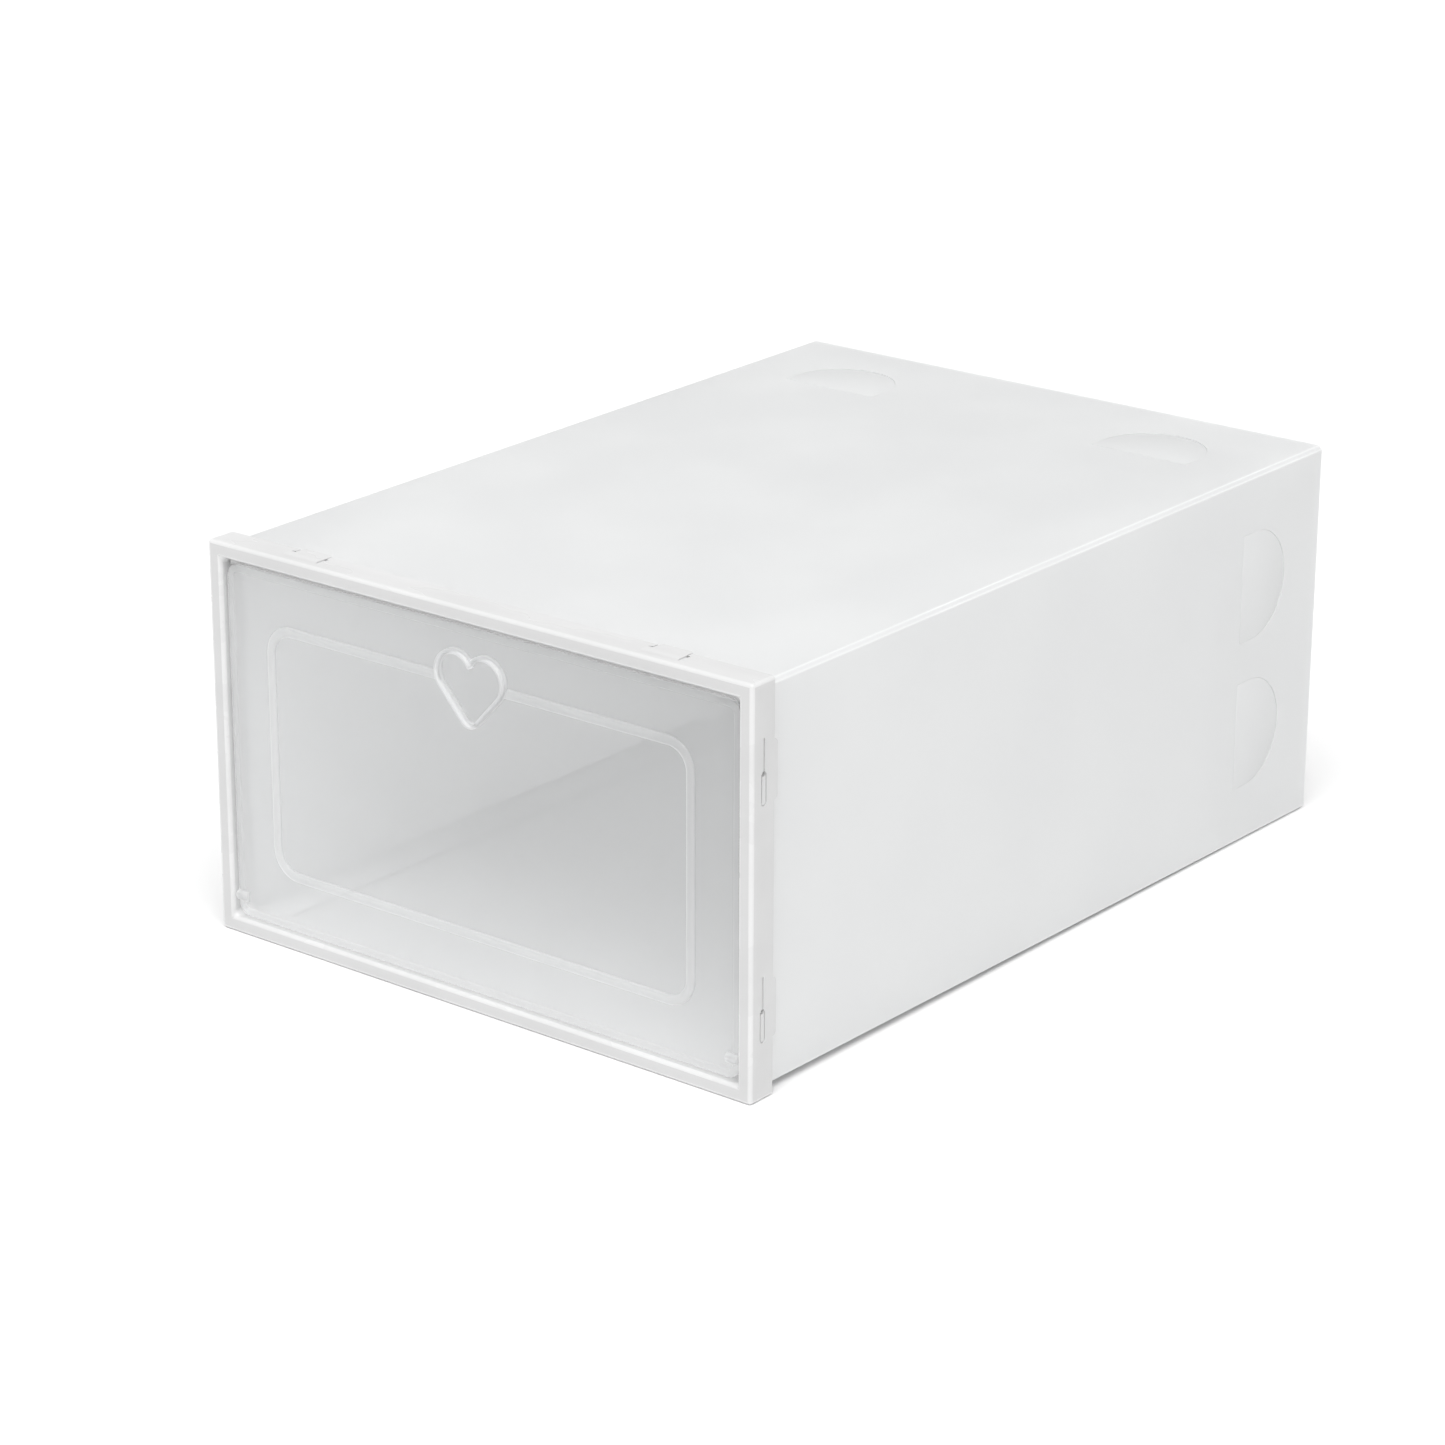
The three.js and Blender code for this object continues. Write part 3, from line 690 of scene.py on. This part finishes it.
frame_material = moulded_white("moulded_white", 0.74, 0.77, 0.28)
# A lighter grey of the same moulding: a painted highlight for the rim's rounds and painted light from
# above for the top
painted_light_material = moulded_white("painted_highlight", 0.85, 0.91, 0.22)
dress(shell, frame_material, "frame", ["front_frame"])


def takes_painted_light(face):
    """True for the rounds at the rim's edges and for the top that other boxes are stacked on. Both get a
    lighter grey: a painted highlight on the rounds and painted light from above on the top.
    """
    on_round = max(abs(part) for part in face.normal) < 0.985
    return on_round or (face.normal.z > 0.9 and face.center.z > frame_top - 0.1 * MM)


whiten(shell, painted_light_material, takes_painted_light)
apply(shell, "WEIGHTED_NORMAL", keep_sharp=True, weight=90)

# ---------------------------------------------------------------- the door
# A clear moulding that drops forward on two pins. It has a lip round its edge, a rounded bead that
# stiffens it, and a heart-shaped ring at the top to pull it by.
DOOR_LIP = 2.5 * MM
DOOR_FIELD = 0.35 * MM
DOOR_CORNER = 5 * MM
DOOR_EDGE = 0.35 * MM
DOOR_THICK = 1.4 * MM
DOOR_FACE = 2.2 * MM
PIN_UP = 7.5 * MM
PIN_BACK = 2.8 * MM
PIN_RADIUS = 1.4 * MM
BOSS_RADIUS = 2 * MM
BOSS_LENGTH = 5 * MM
BEAD_HALF = 89.3 * MM
BEAD_LOW = 26.2 * MM
BEAD_HIGH = 113.3 * MM
BEAD_CORNER = 9 * MM
BEAD_WIDTH = 3.4 * MM
BEAD_RISE = 0.8 * MM
HEART_WALL = 1.5 * MM
HEART_LOBE = 7.6 * MM
HEART_OUT = 6.4 * MM
HEART_TIP = 3.7 * MM
HEART_TALL = 24.1 * MM
HEART_TOP = 123.6 * MM
DOOR_HAZE = 0.27
RIB_HAZE = 0.09
EDGE_HAZE = 0.1
PULL_CLEAR = 0.1
DOOR_GAP = 0.6 * MM
DOOR_LIFT = 0.5 * MM
RING_ROOT = 0.3 * MM
SAME_POINT = 0.000001

door_x = doorway_x - DOOR_GAP
door_y = frame_face + DOOR_FACE
door_bottom = doorway_low + DOOR_LIFT
door_top = door_high.z
plate = block("drop_door", (-door_x, door_y, door_bottom), (door_x, door_y + DOOR_THICK, door_top))
soften(plate, 1, DOOR_CORNER, 6)
edit(plate)
pick(plate, "FACE", lambda face: face.normal.y < -0.9)
bpy.ops.mesh.inset(thickness=DOOR_LIP)
bpy.ops.mesh.inset(thickness=0.4 * MM, depth=-DOOR_FIELD)
done()
apply(plate, "BEVEL", width=DOOR_EDGE, segments=3, limit_method="ANGLE", angle_limit=math.radians(60))


def ring(name, points, width, height, foot):
    """A closed bead that follows points in X and Z, with a rounded crest height above foot."""
    outline = bpy.data.curves.new(name + "_section", "CURVE")
    section = outline.splines.new("POLY")
    straight = max(height - width / 2, height / 2)
    turns = [math.pi * step / 8 for step in range(9)]
    crest = [(width / 2 * math.cos(a), straight + (height - straight) * math.sin(a)) for a in turns]
    corners = [(width / 2, 0), *crest, (-width / 2, 0)]
    section.points.add(len(corners) - 1)
    for point, (across, up) in zip(section.points, corners):
        point.co = (across, up, 0, 1)
    section.use_cyclic_u = True
    profile = bpy.data.objects.new(name + "_section", outline)
    bpy.context.scene.collection.objects.link(profile)
    path = bpy.data.curves.new(name, "CURVE")
    path.dimensions = "2D"
    path.fill_mode = "NONE"
    path.bevel_mode = "OBJECT"
    path.bevel_object = profile
    line = path.splines.new("POLY")
    line.points.add(len(points) - 1)
    for point, (x, z) in zip(line.points, points):
        point.co = (x, z, 0, 1)
    line.use_cyclic_u = True
    made = bpy.data.objects.new(name, path)
    bpy.context.scene.collection.objects.link(made)
    made.rotation_euler = (math.pi / 2, 0, 0)
    made.location = (0, foot, 0)
    alone(made)
    bpy.ops.object.convert(target="MESH")
    bpy.ops.object.transform_apply(location=True, rotation=True, scale=True)
    bpy.data.objects.remove(profile, do_unlink=True)
    edit(made)
    bpy.ops.mesh.select_all(action="SELECT")
    bpy.ops.mesh.remove_doubles(threshold=SAME_POINT)
    bpy.ops.mesh.normals_make_consistent(inside=False)
    done()
    return made


def arc(x, z, radius, start, end, steps):
    """Points on an arc, by angles from +X towards +Z."""
    turns = [start + (end - start) * step / steps for step in range(steps + 1)]
    return [(x + radius * math.cos(a), z + radius * math.sin(a)) for a in turns]


def rounded_rectangle(half, low, high, radius):
    points = []
    corners = [(half, high), (-half, high), (-half, low), (half, low)]
    for turn, (x, z) in enumerate(corners):
        inner_x = x - math.copysign(radius, x)
        inner_z = z - radius if z == high else z + radius
        points += arc(inner_x, inner_z, radius, turn * math.pi / 2, (turn + 1) * math.pi / 2, 10)
    return points


def heart():
    """Two round lobes and a small round tip, joined by straight flanks."""
    tip_z = HEART_TOP - HEART_TALL + HEART_TIP
    lobe_z = HEART_TOP - HEART_LOBE
    reach = math.hypot(HEART_OUT, lobe_z - tip_z)
    flank = math.atan2(HEART_OUT, lobe_z - tip_z) + math.asin((HEART_LOBE - HEART_TIP) / reach)
    notch = math.acos(HEART_OUT / HEART_LOBE)
    points = arc(0, tip_z, HEART_TIP, -math.pi + flank, -flank, 12)
    points += arc(HEART_OUT, lobe_z, HEART_LOBE, -flank, math.pi - notch, 24)
    points += arc(-HEART_OUT, lobe_z, HEART_LOBE, notch, math.pi + flank, 24)
    return points


field_y = door_y + DOOR_FIELD
foot_y = field_y + RING_ROOT
bead = ring(
    "bead",
    rounded_rectangle(BEAD_HALF, BEAD_LOW, BEAD_HIGH, BEAD_CORNER),
    BEAD_WIDTH,
    BEAD_RISE + DOOR_FIELD + RING_ROOT,
    foot_y,
)
pull = ring("pull", heart(), HEART_WALL, foot_y - door_low.y, foot_y)
hollow = bpy.data.curves.new("hollow", "CURVE")
hollow.dimensions = "2D"
hollow.fill_mode = "BOTH"
hollow.extrude = 2 * MM
outline = hollow.splines.new("POLY")
heart_points = heart()
outline.points.add(len(heart_points) - 1)
for point, (x, z) in zip(outline.points, heart_points):
    point.co = (x, z, 0, 1)
outline.use_cyclic_u = True
cutter = bpy.data.objects.new("hollow", hollow)
bpy.context.scene.collection.objects.link(cutter)
cutter.rotation_euler = (math.pi / 2, 0, 0)
cutter.location = (0, field_y, 0)
alone(cutter)
bpy.ops.object.convert(target="MESH")
bpy.ops.object.transform_apply(location=True, rotation=True, scale=True)
edit(cutter)
bpy.ops.mesh.select_all(action="SELECT")
bpy.ops.mesh.remove_doubles(threshold=SAME_POINT)
bpy.ops.mesh.normals_make_consistent(inside=False)
done()
combine(bead, [cutter], "DIFFERENCE")
combine(plate, [bead, pull], "UNION")

for side in (-1, 1):
    for inner, outer, radius in (
        (door_x - BOSS_LENGTH, door_x, BOSS_RADIUS),
        (door_x - MM, doorway_x + JAMB_WALL - 0.2 * MM, PIN_RADIUS),
    ):
        bpy.ops.object.select_all(action="DESELECT")
        bpy.ops.mesh.primitive_cylinder_add(
            vertices=40,
            radius=radius,
            depth=outer - inner,
            location=(side * (inner + outer) / 2, frame_face + PIN_BACK, doorway_low + PIN_UP),
            rotation=(0, math.pi / 2, 0),
        )
        pin = bpy.context.object
        bpy.ops.object.transform_apply(location=True, rotation=True, scale=True)
        apply(pin, "BEVEL", width=0.25 * MM, segments=2, limit_method="ANGLE")
        combine(plate, [pin], "UNION")


def clear_door():
    """Clear moulded plastic with a milky haze, faint flow marks and a few fine scratches. It shows
    whiter where it is seen on edge and along its bead, and clearer in the thin ring of the pull."""
    wire, shader, material = new_material("clear_door", {"IOR": 1.49, "Specular IOR Level": 0.5})
    flow = grain(wire, 40 * MM, 2, (2, 1, 1))
    scratches = grain(wire, 2 * MM, 2, (12, 1, 1)).between(0.66, 0.8)
    on_edge = wire.node("LayerWeight", {}, {"Blend": 0.5}, output="Facing")
    color = tint(wire, flow, (0.94, 0.945, 0.95, 1), (0.96, 0.965, 0.97, 1))
    finish_material(wire, shader, color, 0.28 + 0.06 * flow, flow + 0.01 * scratches, 0.00002)
    let_through(wire, material, 0.15, (0.93, 0.935, 0.94, 1))
    depth = wire.node("SeparateXYZ", {}, {"Vector": wire.node("TexCoord", output="Object")}, output="Y")
    raised = (field_y - depth).between(0.1 * MM, 0.9 * MM)
    on_pull = (field_y - depth).between(1.2 * MM, 1.8 * MM)
    haze = DOOR_HAZE + 0.02 * flow + RIB_HAZE * raised + EDGE_HAZE * on_edge.between(0.35, 0.85)
    haze = haze - PULL_CLEAR * on_pull
    clear = wire.node("BsdfTransparent")
    output = wire.tree.nodes["Material Output"].inputs["Surface"]
    cloudy = Wire(wire.tree, output.links[0].from_socket)
    seen = wire.node("MixShader", {}, {0: haze, 1: clear, 2: cloudy})
    wire.tree.links.new(seen.socket, output)
    return material


dress(plate, clear_door(), "door", ["door"])
# A clear sheet throws hardly any shadow, so the light reaches the inside of the box
plate.visible_shadow = False

# ---------------------------------------------------------------- floor, light and camera
# A plain pale floor and a large soft light overhead in a white room, with the camera in front and to the
# right.
CAMERA_TARGET = Vector((0.0248, -0.0656, 0.0786))
CAMERA_DISTANCE = 1.45
CAMERA_AZIMUTH = math.radians(38.49)
CAMERA_ELEVATION = math.radians(20.12)
CAMERA_ROLL = math.radians(0.16)
CAMERA_LENS = 108.04
FLOOR_SIZE = 12
LIGHT_FROM = Vector((0.25, -0.35, 0.9))
LIGHT_SPREAD = math.radians(50)
LIGHT_STRENGTH = 2.11
ROOM_STRENGTH = 0.55

bpy.ops.object.select_all(action="DESELECT")
bpy.ops.mesh.primitive_plane_add(size=FLOOR_SIZE, location=(0, 0, 0))
floor = bpy.context.object
floor.name = "floor"
floor_look = {"Specular IOR Level": 0.1, "Roughness": 0.8, "Base Color": (0.97, 0.97, 0.97, 1)}
floor.data.materials.append(new_material("pale_floor", floor_look)[2])

world = bpy.data.worlds.new("white_room")
world.use_nodes = True
room = world.node_tree.nodes["Background"]
room.inputs["Color"].default_value = (1, 1, 1, 1)
room.inputs["Strength"].default_value = ROOM_STRENGTH
bpy.context.scene.world = world

lamp = bpy.data.lights.new("softbox", "SUN")
lamp.angle = LIGHT_SPREAD
lamp.energy = LIGHT_STRENGTH
softbox = bpy.data.objects.new("softbox", lamp)
softbox.rotation_euler = LIGHT_FROM.to_track_quat("Z", "Y").to_euler()
bpy.context.scene.collection.objects.link(softbox)

lens = bpy.data.cameras.new("camera")
lens.lens = CAMERA_LENS
lens.sensor_width = 36
lens.clip_start = 0.05
camera = bpy.data.objects.new("camera", lens)
towards = Vector(
    (
        math.sin(CAMERA_AZIMUTH) * math.cos(CAMERA_ELEVATION),
        -math.cos(CAMERA_AZIMUTH) * math.cos(CAMERA_ELEVATION),
        math.sin(CAMERA_ELEVATION),
    )
)
camera.location = CAMERA_TARGET + CAMERA_DISTANCE * towards
aim = Euler((math.pi / 2 - CAMERA_ELEVATION, 0, CAMERA_AZIMUTH)).to_matrix()
camera.rotation_euler = (aim @ Matrix.Rotation(CAMERA_ROLL, 3, "Z")).to_euler()
bpy.context.scene.collection.objects.link(camera)
bpy.context.scene.camera = camera
bpy.context.scene.view_settings.view_transform = "Standard"
